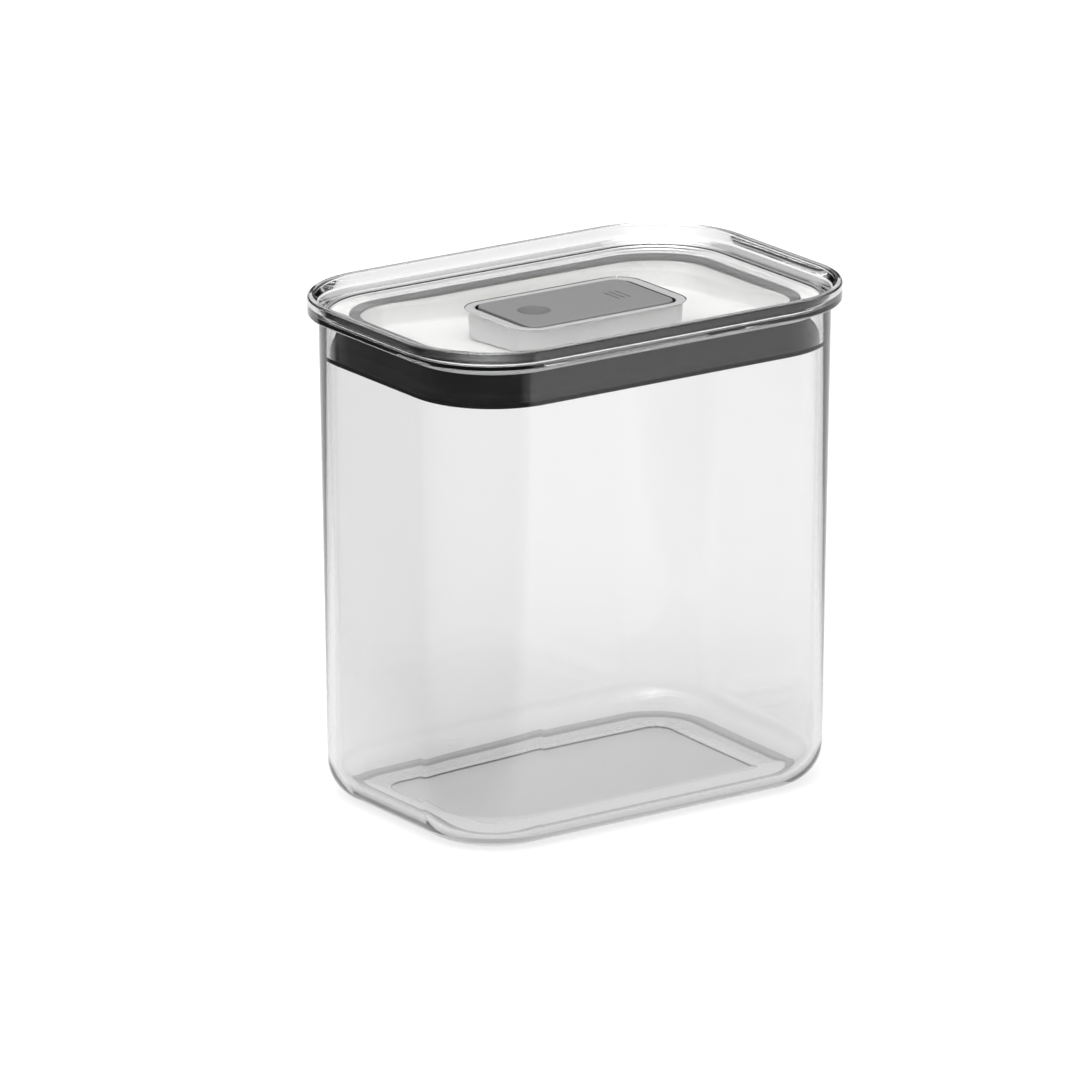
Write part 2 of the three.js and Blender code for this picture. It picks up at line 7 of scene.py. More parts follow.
import bpy
import numpy as np
from bpy.props import FloatProperty, FloatVectorProperty, IntProperty, PointerProperty
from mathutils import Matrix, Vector


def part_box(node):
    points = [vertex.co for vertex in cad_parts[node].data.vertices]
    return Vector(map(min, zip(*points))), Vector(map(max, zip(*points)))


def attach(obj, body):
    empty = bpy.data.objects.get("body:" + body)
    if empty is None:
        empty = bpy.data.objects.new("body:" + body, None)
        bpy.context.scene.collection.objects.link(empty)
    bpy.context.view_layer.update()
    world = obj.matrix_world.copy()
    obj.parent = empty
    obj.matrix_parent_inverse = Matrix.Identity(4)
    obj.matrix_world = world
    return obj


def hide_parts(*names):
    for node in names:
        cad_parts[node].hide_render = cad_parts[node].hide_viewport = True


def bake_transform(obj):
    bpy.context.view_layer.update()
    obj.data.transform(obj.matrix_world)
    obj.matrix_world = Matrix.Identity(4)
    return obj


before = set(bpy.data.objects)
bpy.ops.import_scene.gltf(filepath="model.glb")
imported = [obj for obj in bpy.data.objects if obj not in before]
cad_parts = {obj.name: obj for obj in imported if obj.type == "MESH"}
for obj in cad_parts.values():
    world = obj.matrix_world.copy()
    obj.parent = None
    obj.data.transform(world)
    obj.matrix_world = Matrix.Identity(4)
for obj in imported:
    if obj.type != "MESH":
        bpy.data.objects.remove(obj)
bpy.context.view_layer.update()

bl_info = {
    "name": "Rocker-Lid Canister",
    "version": (1, 0, 0),
    "blender": (4, 5, 0),
    "location": "View3D > Sidebar > Canister",
    "description": "Builds the finished surfaces of a lidded canister around its frame",
    "category": "Add Mesh",
}

MM = 0.001

# Directions of the dark flag and of the key light, and the sky's sines of elevation with its brightness there.
FLAG = (-0.97, -0.26, 0.0)
SKY = ((0.0, 1.0), (0.012, 0.02), (0.24, 0.03), (0.34, 0.6), (1.0, 1.0))
KEY = (-0.40, -0.36, 0.84)

# ------------------------------------------------------------------ sizes read from the frame

def node_size(node):
    """Half length, half width, lowest and highest point of a frame node."""
    low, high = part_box(node)
    return (high.x - low.x) / 2, (high.y - low.y) / 2, low.z, high.z


LID_A, LID_B, PANEL_LOW, RIM_TOP = node_size("lid_cover")
MOUTH_A, MOUTH_B, _, MOUTH = node_size("canister_body")
FLANGE_A, FLANGE_B, WELL_LOW, PANEL_TOP = node_size("handle_well")
FLANGE_REACH, _, PAN_LOW, PAN_WALL_TOP = node_size("pan")
_, _, GASKET_LOW, GASKET_TOP = node_size("seal_gasket")
PAN_A, PAN_B, SEAL_LOW, SEAL_TOP = node_size("chamber_seal")
FRAME_A, _, FRAME_LOW, FRAME_TOP = node_size("gasket_frame")
ROCKER_A, ROCKER_B, CAP_LOW, ROCKER_TOP = node_size("rocker_cap")


# ------------------------------------------------------------------ settings

def length(name, value, text):
    return FloatProperty(name=name, description=text, default=value, unit="LENGTH", subtype="DISTANCE", min=0.0)


def colour(name, value, text):
    shade = (value, value, value) if isinstance(value, float) else value
    return FloatVectorProperty(name=name, description=text, default=shade, subtype="COLOR", min=0.0, max=1.0)


class CanisterContainerSettings(bpy.types.PropertyGroup):
    """Sizes and tint of the clear container."""
    corner: length("Corner radius", 30.25 * MM, "Corner radius of the mouth in plan")
    wall: length("Wall", 2.5 * MM, "Thickness of the upright walls")
    draft: length("Draft", 2.24 * MM, "Narrowing of each side from mouth to base")
    base_fillet: length("Base fillet", 12.5 * MM, "Outside radius between side and base")
    inner_fillet: length("Inner fillet", 10.0 * MM, "Inside radius between side and floor")
    floor: length("Floor", 3.2 * MM, "Height of the inside floor above the base")
    foot: length("Foot", 9.0 * MM, "Width of the flat ring that it stands on")
    recess: length("Recess", 0.8 * MM, "Depth of the recess within the foot")
    mouth_round: length("Mouth round", 1.0 * MM, "Radius of the mouth's edges")
    tint: colour("Tint", 0.975, "Colour of light passed by the glass")
    density: FloatProperty(name="Density", description="Greying with depth, per metre", default=42.0, min=0.0)
    # Painted shade: a near-black band on the glass at the step round the base recess, standing in for the dark line
    # seen there.
    step_painted_shade: FloatProperty(name="Step", description="Light passed by the darkened step round the recess",
                              default=0.01, min=0.0, max=1.0)
    # Painted shade: a grey band on the glass at the foot's outer edge, standing in for the contact shadow under it.
    foot_painted_shade: FloatProperty(name="Shaded foot", description="Light passed by the foot's worn edge",
                              default=0.4, min=0.0, max=1.0)


class CanisterCoverSettings(bpy.types.PropertyGroup):
    """Sizes and tint of the clear cover."""
    corner: length("Corner radius", 33.9 * MM, "Corner radius of the rim in plan")
    rim_height: length("Rim height", 6.35 * MM, "Height of the rim's outer face")
    rim_top: length("Rim top", 2.4 * MM, "Width of the rim's top")
    rim_slope: length("Rim slope", 3.7 * MM, "Run of the rim's inner face in plan")
    rim_round: length("Rim round", 0.9 * MM, "Radius of the rim's edges")
    plug: length("Plug inset", 6.6 * MM, "Rim's outer face to the plug under the panel")
    tint: colour("Tint", 0.985, "Colour of light passed by the clear plastic")
    density: FloatProperty(name="Density", description="Greying with depth, per metre", default=15.0, min=0.0)
    # Painted shade: the rim's surfaces pass less light than the panel, so the rim reads darker.
    rim_painted_shade: FloatProperty(name="Rim", description="Light passed by the rim's surface",
                             default=0.84, min=0.0, max=1.0)


class CanisterPanSettings(bpy.types.PropertyGroup):
    """Sizes and colours of the pan, its seals and the gasket."""
    corner: length("Corner radius", 23.4 * MM, "Corner radius of the pan's wall in plan")
    wall: length("Wall", 3.2 * MM, "Thickness of the pan's wall")
    floor: length("Floor", 1.8 * MM, "Thickness of the pan's floor")
    fillet: length("Fillet", 1.6 * MM, "Radius between the pan's wall and floor")
    pad: length("Pad", 1.5 * MM, "Depth of the pad under the floor")
    flange: length("Flange", 1.2 * MM, "Thickness of the flange that holds the gasket")
    white: colour("White plastic", 0.85, "Colour of the pan, its posts and the gasket's frame")
    ring: colour("Ring seal", 0.2, "Colour of the ring between pan and cover")
    rubber: colour("Gasket", 0.01, "Colour of the gasket")


class CanisterRockerSettings(bpy.types.PropertyGroup):
    """Sizes and colours of the rocker and its well."""
    corner: length("Corner radius", 4.6 * MM, "Corner radius of the rocker in plan")
    well_corner: length("Well corner", 6.0 * MM, "Corner radius of the well's opening")
    well_outer_corner: length("Outer corner", 8.1 * MM, "Corner radius of the well's outside")
    flange_overhang: length("Flange overhang", 1.0 * MM, "Flange past the well's outside")
    end_wall: length("End wall", 2.5 * MM, "Thickness of the well at its ends")
    side_wall: length("Side wall", 1.6 * MM, "Thickness of the well at its sides")
    dimple_radius: length("Dimple radius", 5.5 * MM, "Radius of the press dimple")
    dimple_depth: length("Dimple depth", 1.2 * MM, "Depth of the press dimple")
    dimple_from_end: length("Dimple place", 12.5 * MM, "Rocker's end to the dimple's centre")
    grooves: IntProperty(name="Grooves", description="Number of grip grooves", default=3, min=0, max=9)
    groove_width: length("Groove width", 0.8 * MM, "Width of a grip groove")
    groove_length: length("Groove length", 9.0 * MM, "Length of a grip groove")
    groove_depth: length("Groove depth", 0.35 * MM, "Depth of a grip groove")
    groove_pitch: length("Groove pitch", 2.2 * MM, "Spacing of the grip grooves")
    grip_from_end: length("Grip place", 12.5 * MM, "Rocker's other end to the middle groove")
    cap: colour("Cap", 0.1, "Colour of the rocker's cap")
    # Painted shade: the dimple is coloured darker than the cap to stand for the shade in its bowl.
    dimple: colour("Dimple", 0.06, "Colour of the press dimple")
    core: colour("Core", 0.09, "Colour of the rocker's body")
    well: colour("Well", 0.66, "Colour of the well")
    # Painted shade: the flange, moulded with the well, is coloured far darker than the well's walls to stand for its
    # shade.
    flange: colour("Flange", 0.22, "Colour of the well's flange")


class CanisterStageSettings(bpy.types.PropertyGroup):
    """Camera, floor and light."""
    azimuth: FloatProperty(name="Azimuth", description="Camera's turn from the front, to the left",
                           default=math.radians(35.0), subtype="ANGLE")
    elevation: FloatProperty(name="Elevation", description="Camera's height as an angle",
                             default=math.radians(16.74), subtype="ANGLE")
    distance: length("Distance", 3.4495, "Camera to the canister's middle")
    lens: FloatProperty(name="Lens", description="Focal length in millimetres", default=351.96)
    shift_x: FloatProperty(name="Shift X", description="Sideways framing", default=-0.03293)
    shift_y: FloatProperty(name="Shift Y", description="Upward framing", default=-0.0028)
    floor: colour("Floor", 0.15, "Colour of the floor")
    glow: FloatProperty(name="Glow", description="Light that the table gives by itself", default=0.8, min=0.0)
    sky: FloatProperty(name="Sky", description="Strength of the soft light from all round", default=1.2, min=0.0)
    key: FloatProperty(name="Key", description="Strength of the broad light overhead", default=15.0, min=0.0)


# ------------------------------------------------------------------ surfaces

CORNER_STEPS = 20
SIDE_STEPS = 6
SMALLEST_CORNER = 0.2 * MM


def stations():
    """Two corner-point numbers and a share between them for every point round a rounded rectangle."""
    per_corner = CORNER_STEPS + 1
    first, second, share = [], [], []
    for corner in range(4):
        points = np.arange(per_corner) + corner * per_corner
        side = np.arange(1, SIDE_STEPS) / SIDE_STEPS
        last = points[-1]
        first += [points, np.full(len(side), last)]
        second += [points, np.full(len(side), (last + 1) % (4 * per_corner))]
        share += [np.zeros(per_corner), side]
    return np.concatenate(first), np.concatenate(second), np.concatenate(share)


def rings(a, b, r):
    """Points round rounded rectangles, one row for each half length a, half width b and corner radius r.

    A corner point is its corner's centre plus r times (cos t, sin t); straight sides divide the line
    between the last point of one corner and the first of the next.
    """
    a, b, r = (np.asarray(v, float)[:, None] for v in (a, b, r))
    steps = np.linspace(0, math.pi / 2, CORNER_STEPS + 1)
    turn = np.concatenate([steps + k * math.pi / 2 for k in range(4)])[None]
    side_x = np.repeat([1, -1, -1, 1], CORNER_STEPS + 1)[None]
    side_y = np.repeat([1, 1, -1, -1], CORNER_STEPS + 1)[None]
    x = side_x * (a - r) + r * np.cos(turn)
    y = side_y * (b - r) + r * np.sin(turn)
    first, second, share = stations()
    return (x[:, first] * (1 - share) + x[:, second] * share,
            y[:, first] * (1 - share) + y[:, second] * share)


def inset(shape, depth):
    """A rounded rectangle (half length, half width, radius) drawn in by a depth."""
    a, b, r = shape
    return a - depth, b - depth, max(r - depth, SMALLEST_CORNER)


def round_edge(start, end, low, high, hollow=False, steps=8):
    """Offsets and heights of a quarter round from (start, low) to (end, high): sine across and cosine up."""
    t = np.linspace(0, math.pi / 2, steps + 1)
    across = 1 - np.cos(t) if hollow else np.sin(t)
    up = np.sin(t) if hollow else 1 - np.cos(t)
    return list(zip(start + (end - start) * across, low + (high - low) * up))


def along(shape, points):
    """Profile points (offset, height) as sections of one outline."""
    return [(*inset(shape, depth), z) for depth, z in points]


def grid_faces(rows, columns, closed):
    """Quads between neighbouring rows of a grid whose columns wrap round; rows wrap too if closed."""
    row = np.arange(rows if closed else rows - 1)[:, None]
    column = np.arange(columns)[None]
    after = (row + 1) % rows
    beside = (column + 1) % columns
    quads = np.stack([row * columns + column, row * columns + beside,
                      after * columns + beside, after * columns + column], -1)
    return quads.reshape(-1, 4)


def outward(verts, faces):
    """The faces, turned round if the volume that they enclose comes out negative."""
    corner = np.array([f[0] for f in faces])
    volume = 0.0
    for size in {len(f) for f in faces}:
        group = np.array([f for f in faces if len(f) == size])
        p = verts[group]
        for k in range(1, size - 1):
            volume += np.einsum("ij,ij->i", p[:, 0], np.cross(p[:, k], p[:, k + 1])).sum()
    return faces if volume > 0 else [f[::-1] for f in faces]


def close_rows(x, y, z, closed):
    """Vertices and faces of a skin through rows of points, closed on itself or by a point at each end."""
    rows, columns = x.shape
    verts = np.stack([x, y, np.broadcast_to(z, x.shape)], -1).reshape(-1, 3)
    faces = grid_faces(rows, columns, closed).tolist()
    if not closed:
        middle = np.stack([[x[k].mean(), y[k].mean(), verts.reshape(rows, columns, 3)[k, :, 2].mean()]
                           for k in (0, -1)])
        around = np.arange(columns)
        beside = (around + 1) % columns
        last = (rows - 1) * columns
        bottom = np.stack([np.full(columns, rows * columns), beside, around], -1)
        top = np.stack([np.full(columns, rows * columns + 1), last + around, last + beside], -1)
        verts = np.vstack([verts, middle])
        faces += bottom.tolist() + top.tolist()
    return verts, outward(verts, faces)


def skin(sections, closed=False):
    """A skin through rounded rectangles (half length, half width, radius, height)."""
    a, b, r, z = np.array(sections, float).T
    x, y = rings(a, b, r)
    return close_rows(x, y, z[:, None], closed)


def turned(profile, x=0.0, y=0.0, closed=False, segments=48):
    """A profile of (radius, height) points turned about an upright axis."""
    radius, z = np.array(profile, float).T
    t = np.linspace(0, 2 * math.pi, segments, endpoint=False)[None]
    return close_rows(x + radius[:, None] * np.cos(t), y + radius[:, None] * np.sin(t), z[:, None], closed)


def make_piece(name, surface, materials, body, replaces=(), bands=None, sharp=34.0):
    """Puts a surface into a mesh object that rides on a body and stands for frame nodes.

    Bands gives a material number for each gap between neighbouring sections of an open skin; the first and
    last also colour the two ends.
    """
    verts, faces = surface
    mesh = bpy.data.meshes.new(name)
    mesh.from_pydata(verts.tolist(), [], faces)
    for material in materials:
        mesh.materials.append(material)
    mesh.shade_smooth()
    mesh.set_sharp_from_angle(angle=math.radians(sharp))
    if bands is not None:
        numbers = np.repeat([*bands, bands[0], bands[-1]], len(stations()[0]))
        mesh.polygons.foreach_set("material_index", numbers.astype(np.int32))
    mesh.update()
    piece = bpy.data.objects.new(name, mesh)
    bpy.context.scene.collection.objects.link(piece)
    if body:
        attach(piece, body)
    if replaces:
        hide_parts(*replaces)
    return piece


def combine(base, other, operation, sharp=13.0):
    """Joins or cuts two closed pieces and keeps the result in the first."""
    modifier = base.modifiers.new("combine", "BOOLEAN")
    modifier.operation = operation
    modifier.solver = "EXACT"
    modifier.object = other
    bpy.context.view_layer.update()
    made = bpy.data.meshes.new_from_object(base.evaluated_get(bpy.context.evaluated_depsgraph_get()))
    base.modifiers.clear()
    base.data = made
    made.shade_smooth()
    made.set_sharp_from_angle(angle=math.radians(sharp))
    bpy.data.objects.remove(other)
    return base


def loose(name, surface):
    """A helper object that only shapes another piece."""
    verts, faces = surface
    mesh = bpy.data.meshes.new(name)
    mesh.from_pydata(verts.tolist(), [], faces)
    helper = bpy.data.objects.new(name, mesh)
    bpy.context.scene.collection.objects.link(helper)
    return helper


# ------------------------------------------------------------------ materials

def maths(nodes, link, operation, *values, clamp=False):
    """A maths node; each value is a number or a socket."""
    node = nodes.new("ShaderNodeMath")
    node.operation = operation
    node.use_clamp = clamp
    for socket, value in zip(node.inputs, values):
        if isinstance(value, (int, float)):
            socket.default_value = value
        else:
            link(value, socket)
    return node.outputs[0]


def blend_colours(nodes, link, first, second, share):
    """The colour between two colours, or sockets, at a share from zero to one."""
    mix = nodes.new("ShaderNodeMix")
    mix.data_type = "RGBA"
    for socket, value in ((mix.inputs["A"], first), (mix.inputs["B"], second)):
        if isinstance(value, bpy.types.NodeSocket):
            link(value, socket)
        else:
            socket.default_value = (*value, 1.0)
    link(share, mix.inputs["Factor"])
    return mix.outputs["Result"]


def shader_group(name, inputs, outputs):
    """An empty node group with float inputs and outputs; returns it with its two end nodes."""
    group = bpy.data.node_groups.new(name, "ShaderNodeTree")
    for label, default in inputs:
        socket = group.interface.new_socket(name=label, in_out="INPUT", socket_type="NodeSocketFloat")
        socket.default_value = default
    for label in outputs:
        group.interface.new_socket(name=label, in_out="OUTPUT", socket_type="NodeSocketFloat")
    return group, group.nodes.new("NodeGroupInput"), group.nodes.new("NodeGroupOutput")


def grain_group():
    """Moulded surface: fine grain for the bump, and a broad soft mottling of shade and gloss."""
    found = bpy.data.node_groups.get("moulded_grain")
    if found:
        return found
    group, source, sink = shader_group(
        "moulded_grain",
        [("Grain Scale", 1800.0), ("Mottle Scale", 40.0), ("Roughness", 0.4), ("Roughness Spread", 0.08)],
        ["Height", "Roughness", "Shade"])
    new, link = group.nodes.new, group.links.new
    place = new("ShaderNodeTexCoord")
    grain = new("ShaderNodeTexNoise")
    grain.inputs["Detail"].default_value = 3.0
    mottle = new("ShaderNodeTexNoise")
    mottle.inputs["Detail"].default_value = 4.0
    link(place.outputs["Object"], grain.inputs["Vector"])
    link(place.outputs["Object"], mottle.inputs["Vector"])
    link(source.outputs["Grain Scale"], grain.inputs["Scale"])
    link(source.outputs["Mottle Scale"], mottle.inputs["Scale"])
    centred = maths(group.nodes, link, "SUBTRACT", mottle.outputs["Fac"], 0.5)
    rough = maths(group.nodes, link, "MULTIPLY_ADD", centred, source.outputs["Roughness Spread"],
                  source.outputs["Roughness"])
    link(grain.outputs["Fac"], sink.inputs["Height"])
    link(rough, sink.inputs["Roughness"])
    link(mottle.outputs["Fac"], sink.inputs["Shade"])
    return group


def place_grain(nodes, grain_scale, mottle_scale, roughness, spread):
    """One use of the grain group with its own values."""
    node = nodes.new("ShaderNodeGroup")
    node.node_tree = grain_group()
    values = (grain_scale, mottle_scale, roughness, spread)
    for socket, value in zip(node.inputs, values):
        socket.default_value = value
    return node


def moulded(name, shade, roughness, grain=0.02 * MM, grain_scale=1800.0, mottle_scale=40.0,
            spread=0.08, mottle=0.03, specular=0.5):
    """Opaque moulded plastic or rubber: one colour, a little mottled, with a fine grain."""
    material = bpy.data.materials.new(name)
    material.use_nodes = True
    nodes, link = material.node_tree.nodes, material.node_tree.links.new
    shader = nodes["Principled BSDF"]
    shader.inputs["Specular IOR Level"].default_value = specular
    surface = place_grain(nodes, grain_scale, mottle_scale, roughness, spread)
    dark = [c * (1 - mottle) for c in shade]
    light = [min(c * (1 + mottle), 1.0) for c in shade]
    link(blend_colours(nodes, link, dark, light, surface.outputs["Shade"]), shader.inputs["Base Color"])
    link(surface.outputs["Roughness"], shader.inputs["Roughness"])
    bump = nodes.new("ShaderNodeBump")
    bump.inputs["Strength"].default_value = 0.6
    bump.inputs["Distance"].default_value = grain
    link(surface.outputs["Height"], bump.inputs["Height"])
    link(bump.outputs["Normal"], shader.inputs["Normal"])
    return material


def band_mask(nodes, link, reach, low, high, outside):
    """One where z lies between two heights and x and y within a reach, or beyond it if outside; else zero."""
    split = nodes.new("ShaderNodeSeparateXYZ")
    link(nodes.new("ShaderNodeTexCoord").outputs["Object"], split.inputs["Vector"])
    within = 1.0
    for axis, limit in zip("XY", reach):
        size = maths(nodes, link, "ABSOLUTE", split.outputs[axis])
        within = maths(nodes, link, "MULTIPLY", maths(nodes, link, "LESS_THAN", size, limit), within)
    if outside:
        within = maths(nodes, link, "SUBTRACT", 1.0, within)
    above = maths(nodes, link, "GREATER_THAN", split.outputs["Z"], low)
    level = maths(nodes, link, "MULTIPLY", above, maths(nodes, link, "LESS_THAN", split.outputs["Z"], high))
    return maths(nodes, link, "MULTIPLY", level, within)


def clear(name, tint, ior, density, bands):
    """Clear glass or plastic that bends what is seen through it and greys where it is thick.

    Each band (shade, reach in x and y, low, high, outside) is painted shade: the glass passes less light there.
    """
    material = bpy.data.materials.new(name)
    material.use_nodes = True
    nodes, link = material.node_tree.nodes, material.node_tree.links.new
    shader = nodes["Principled BSDF"]
    shader.inputs["Transmission Weight"].default_value = 1.0
    shader.inputs["IOR"].default_value = ior
    passed = tint
    for level, *limits in bands:
        passed = blend_colours(nodes, link, passed, (level, level, level), band_mask(nodes, link, *limits))
        link(passed, shader.inputs["Base Color"])
    surface = place_grain(nodes, 300.0, 14.0, 0.0, 0.02)
    link(surface.outputs["Roughness"], shader.inputs["Roughness"])
    absorb = nodes.new("ShaderNodeVolumeAbsorption")
    absorb.inputs["Color"].default_value = (0.0, 0.0, 0.0, 1.0)
    absorb.inputs["Density"].default_value = density
    link(absorb.outputs["Volume"], nodes["Material Output"].inputs["Volume"])
    return material


def steel(name):
    """Stainless steel with a fine grain."""
    material = moulded(name, (0.62, 0.63, 0.64), 0.28, grain=0.01 * MM, grain_scale=2600.0)
    material.node_tree.nodes["Principled BSDF"].inputs["Metallic"].default_value = 1.0
    return material


def finish(kind):
    """The material of a kind, made once."""
    found = bpy.data.materials.get(kind)
    if found:
        return found
    scene = bpy.context.scene
    glass, cover = scene.canister_container, scene.canister_cover
    pan, rocker = scene.canister_pan, scene.canister_rocker
    within_foot = glass.draft + glass.base_fillet + glass.foot / 2
    reach = (MOUTH_A - within_foot, MOUTH_B - within_foot)
    # Painted shade on the container's glass: a near-black line at the recess step and a grey band round the foot's
    # outer edge.
    shaded = ((glass.step_painted_shade, reach, 0.3 * MM, glass.recess - 0.02 * MM, False),
            (glass.foot_painted_shade, reach, 0.03 * MM, 1.3 * MM, True))
    # Painted shade: the cover's rim passes less light than its panel.
    rim = ((cover.rim_painted_shade, (0.0, 0.0), PANEL_TOP + 0.8 * MM, RIM_TOP + MM, True),)
    makers = {
        "clear_container": lambda: clear(kind, glass.tint, 1.5, glass.density, shaded),
        "clear_cover": lambda: clear(kind, cover.tint, 1.49, cover.density, rim),
        "white_plastic": lambda: moulded(kind, pan.white, 0.42, grain=0.01 * MM),
        "well_plastic": lambda: moulded(kind, rocker.well, 0.45, grain=0.01 * MM),
        # Painted shade: the inside of the well is near black, standing in for the shadow in the gap round the rocker.
        "well_inside_painted_shade": lambda: moulded(kind, (0.012, 0.012, 0.012), 0.55, grain=0.01 * MM, specular=0.3),
        # Painted shade: a far darker copy of the well's plastic for the flange.
        "flange_painted_shade": lambda: moulded(kind, rocker.flange, 0.5, grain=0.01 * MM),
        "ring_rubber": lambda: moulded(kind, pan.ring, 0.55, grain=0.01 * MM),
        "gasket_rubber": lambda: moulded(kind, pan.rubber, 0.6, grain=0.01 * MM, mottle=0.06, specular=0.2),
        "cap_matte": lambda: moulded(kind, rocker.cap, 0.62, grain=0.12 * MM, grain_scale=2400.0, mottle=0.05),
        "dimple_painted_shade": lambda: moulded(kind, rocker.dimple, 0.5, grain=0.03 * MM, grain_scale=2400.0, mottle=0.04),
        "core_plastic": lambda: moulded(kind, rocker.core, 0.5, grain=0.02 * MM),
        "steel": lambda: steel(kind),
    }
    return makers[kind]()


# ------------------------------------------------------------------ operators: the pieces

class CANISTER_OT_container(bpy.types.Operator):
    """Build the clear container"""
    bl_idname = "canister.make_container"
    bl_label = "Container"

    def execute(self, context):
        s = context.scene.canister_container
        mouth = (MOUTH_A, MOUTH_B, s.corner)
        drawn = lambda z: s.draft * (1 - z / MOUTH)
        foot_outer = s.draft + s.base_fillet
        foot_inner = foot_outer + s.foot
        t = np.linspace(0, math.pi / 2, 21)
        low_z = s.base_fillet * (1 - np.cos(t))
        outer_low = list(zip(drawn(low_z) + s.base_fillet * (1 - np.sin(t)), low_z))
        in_z = s.floor + s.inner_fillet * (1 - np.sin(t))
        inner_low = list(zip(drawn(in_z) + s.wall + s.inner_fillet * (1 - np.cos(t)), in_z))
        foot_round = 0.2 * MM
        profile = [(foot_inner + 16 * MM, s.recess), (foot_inner + 2.2 * MM, s.recess)]
        profile += [(foot_inner + foot_round + 0.05 * MM, s.recess), (foot_inner + foot_round, foot_round)]
        profile += round_edge(foot_inner + foot_round, foot_inner, foot_round, 0.0, hollow=True, steps=3)
        profile += outer_low
        profile += round_edge(s.mouth_round, 0.0, MOUTH, MOUTH - s.mouth_round)[::-1]
        profile += round_edge(s.wall - s.mouth_round, s.wall, MOUTH, MOUTH - s.mouth_round)
        profile += inner_low + [(inner_low[-1][0] + 20 * MM, s.floor)]
        make_piece("container", skin(along(mouth, profile)), [finish("clear_container")],
                   "canister", ["canister_body"])
        return {"FINISHED"}


def well_shapes(s):
    """The well's flange, outside and opening as rounded rectangles."""
    flange = (FLANGE_A, FLANGE_B, s.well_outer_corner + s.flange_overhang)
    outside = inset(flange, s.flange_overhang)
    opening = (outside[0] - s.end_wall, outside[1] - s.side_wall, s.well_corner)
    return flange, outside, opening


class CANISTER_OT_cover(bpy.types.Operator):
    """Build the clear cover with its raised rim and the opening for the well"""
    bl_idname = "canister.make_cover"
    bl_label = "Cover"

    def execute(self, context):
        s = context.scene.canister_cover
        lid = (LID_A, LID_B, s.corner)
        flange, outside, _ = well_shapes(context.scene.canister_rocker)
        gap = 0.15 * MM
        rebate_floor = PANEL_TOP - 1.3 * MM
        rim_low = RIM_TOP - s.rim_height
        edge, foot = s.rim_round, s.rim_top + s.rim_slope
        foot_round = 1.0 * MM
        profile = [(s.plug + 0.4 * MM, PANEL_LOW)]
        profile += round_edge(s.plug + 0.4 * MM, s.plug, PANEL_LOW, PANEL_LOW + 0.4 * MM, steps=4)
        profile += round_edge(s.plug, s.plug - 0.4 * MM, rim_low - 0.4 * MM, rim_low, hollow=True, steps=4)
        profile += round_edge(edge, 0.0, rim_low, rim_low + edge)
        profile += round_edge(edge, 0.0, RIM_TOP, RIM_TOP - edge)[::-1]
        profile += round_edge(s.rim_top - edge, s.rim_top, RIM_TOP, RIM_TOP - edge)
        profile += round_edge(foot, foot + foot_round, PANEL_TOP + foot_round, PANEL_TOP, hollow=True)
        sections = along(lid, profile)
        sections += along(flange, [(-gap - 0.2 * MM, PANEL_TOP), (-gap, PANEL_TOP - 0.2 * MM), (-gap, rebate_floor)])
        sections += along(outside, [(-gap, rebate_floor), (-gap, PANEL_LOW)])
        make_piece("cover", skin(sections, closed=True), [finish("clear_cover")], "lid", ["lid_cover"])
        return {"FINISHED"}


class CANISTER_OT_well(bpy.types.Operator):
    """Build the well that the rocker sits in, with its flange"""
    bl_idname = "canister.make_well"
    bl_label = "Well"

    def execute(self, context):
        s = context.scene.canister_rocker
        flange, outside, opening = well_shapes(s)
        under = PANEL_TOP - 1.0 * MM
        floor = WELL_LOW + 2.2 * MM
        edge = 0.3 * MM
        sections = along(outside, [(12 * MM, WELL_LOW)] + round_edge(1.8 * MM, 0.0, WELL_LOW, WELL_LOW + 1.8 * MM))
        sections += along(outside, [(0.0, under)])
        below = len(sections)
        sections += along(flange, [(0.0, under)] + round_edge(edge, 0.0, PANEL_TOP, PANEL_TOP - edge, steps=4)[::-1])
        sections += along(opening, round_edge(-edge, 0.0, PANEL_TOP, PANEL_TOP - edge, steps=4))
        shown = len(sections) - below
        sections += along(opening, round_edge(0.0, 1.0 * MM, floor + 1.0 * MM, floor, hollow=True, steps=5))
        sections += along(opening, [(12 * MM, floor)])
        # The second band, the flange and the opening's rim, is a darker painted shade of the well's plastic.
        bands = [0] * below + [1] * (shown - 1)
        # The third band, the inside of the well, is near-black painted shade.
        bands += [2] * (len(sections) - 1 - len(bands))
        make_piece("well", skin(sections), [finish("well_plastic"), finish("flange_painted_shade"), finish("well_inside_painted_shade")],
                   "lid", ["handle_well"], bands=bands)
        return {"FINISHED"}


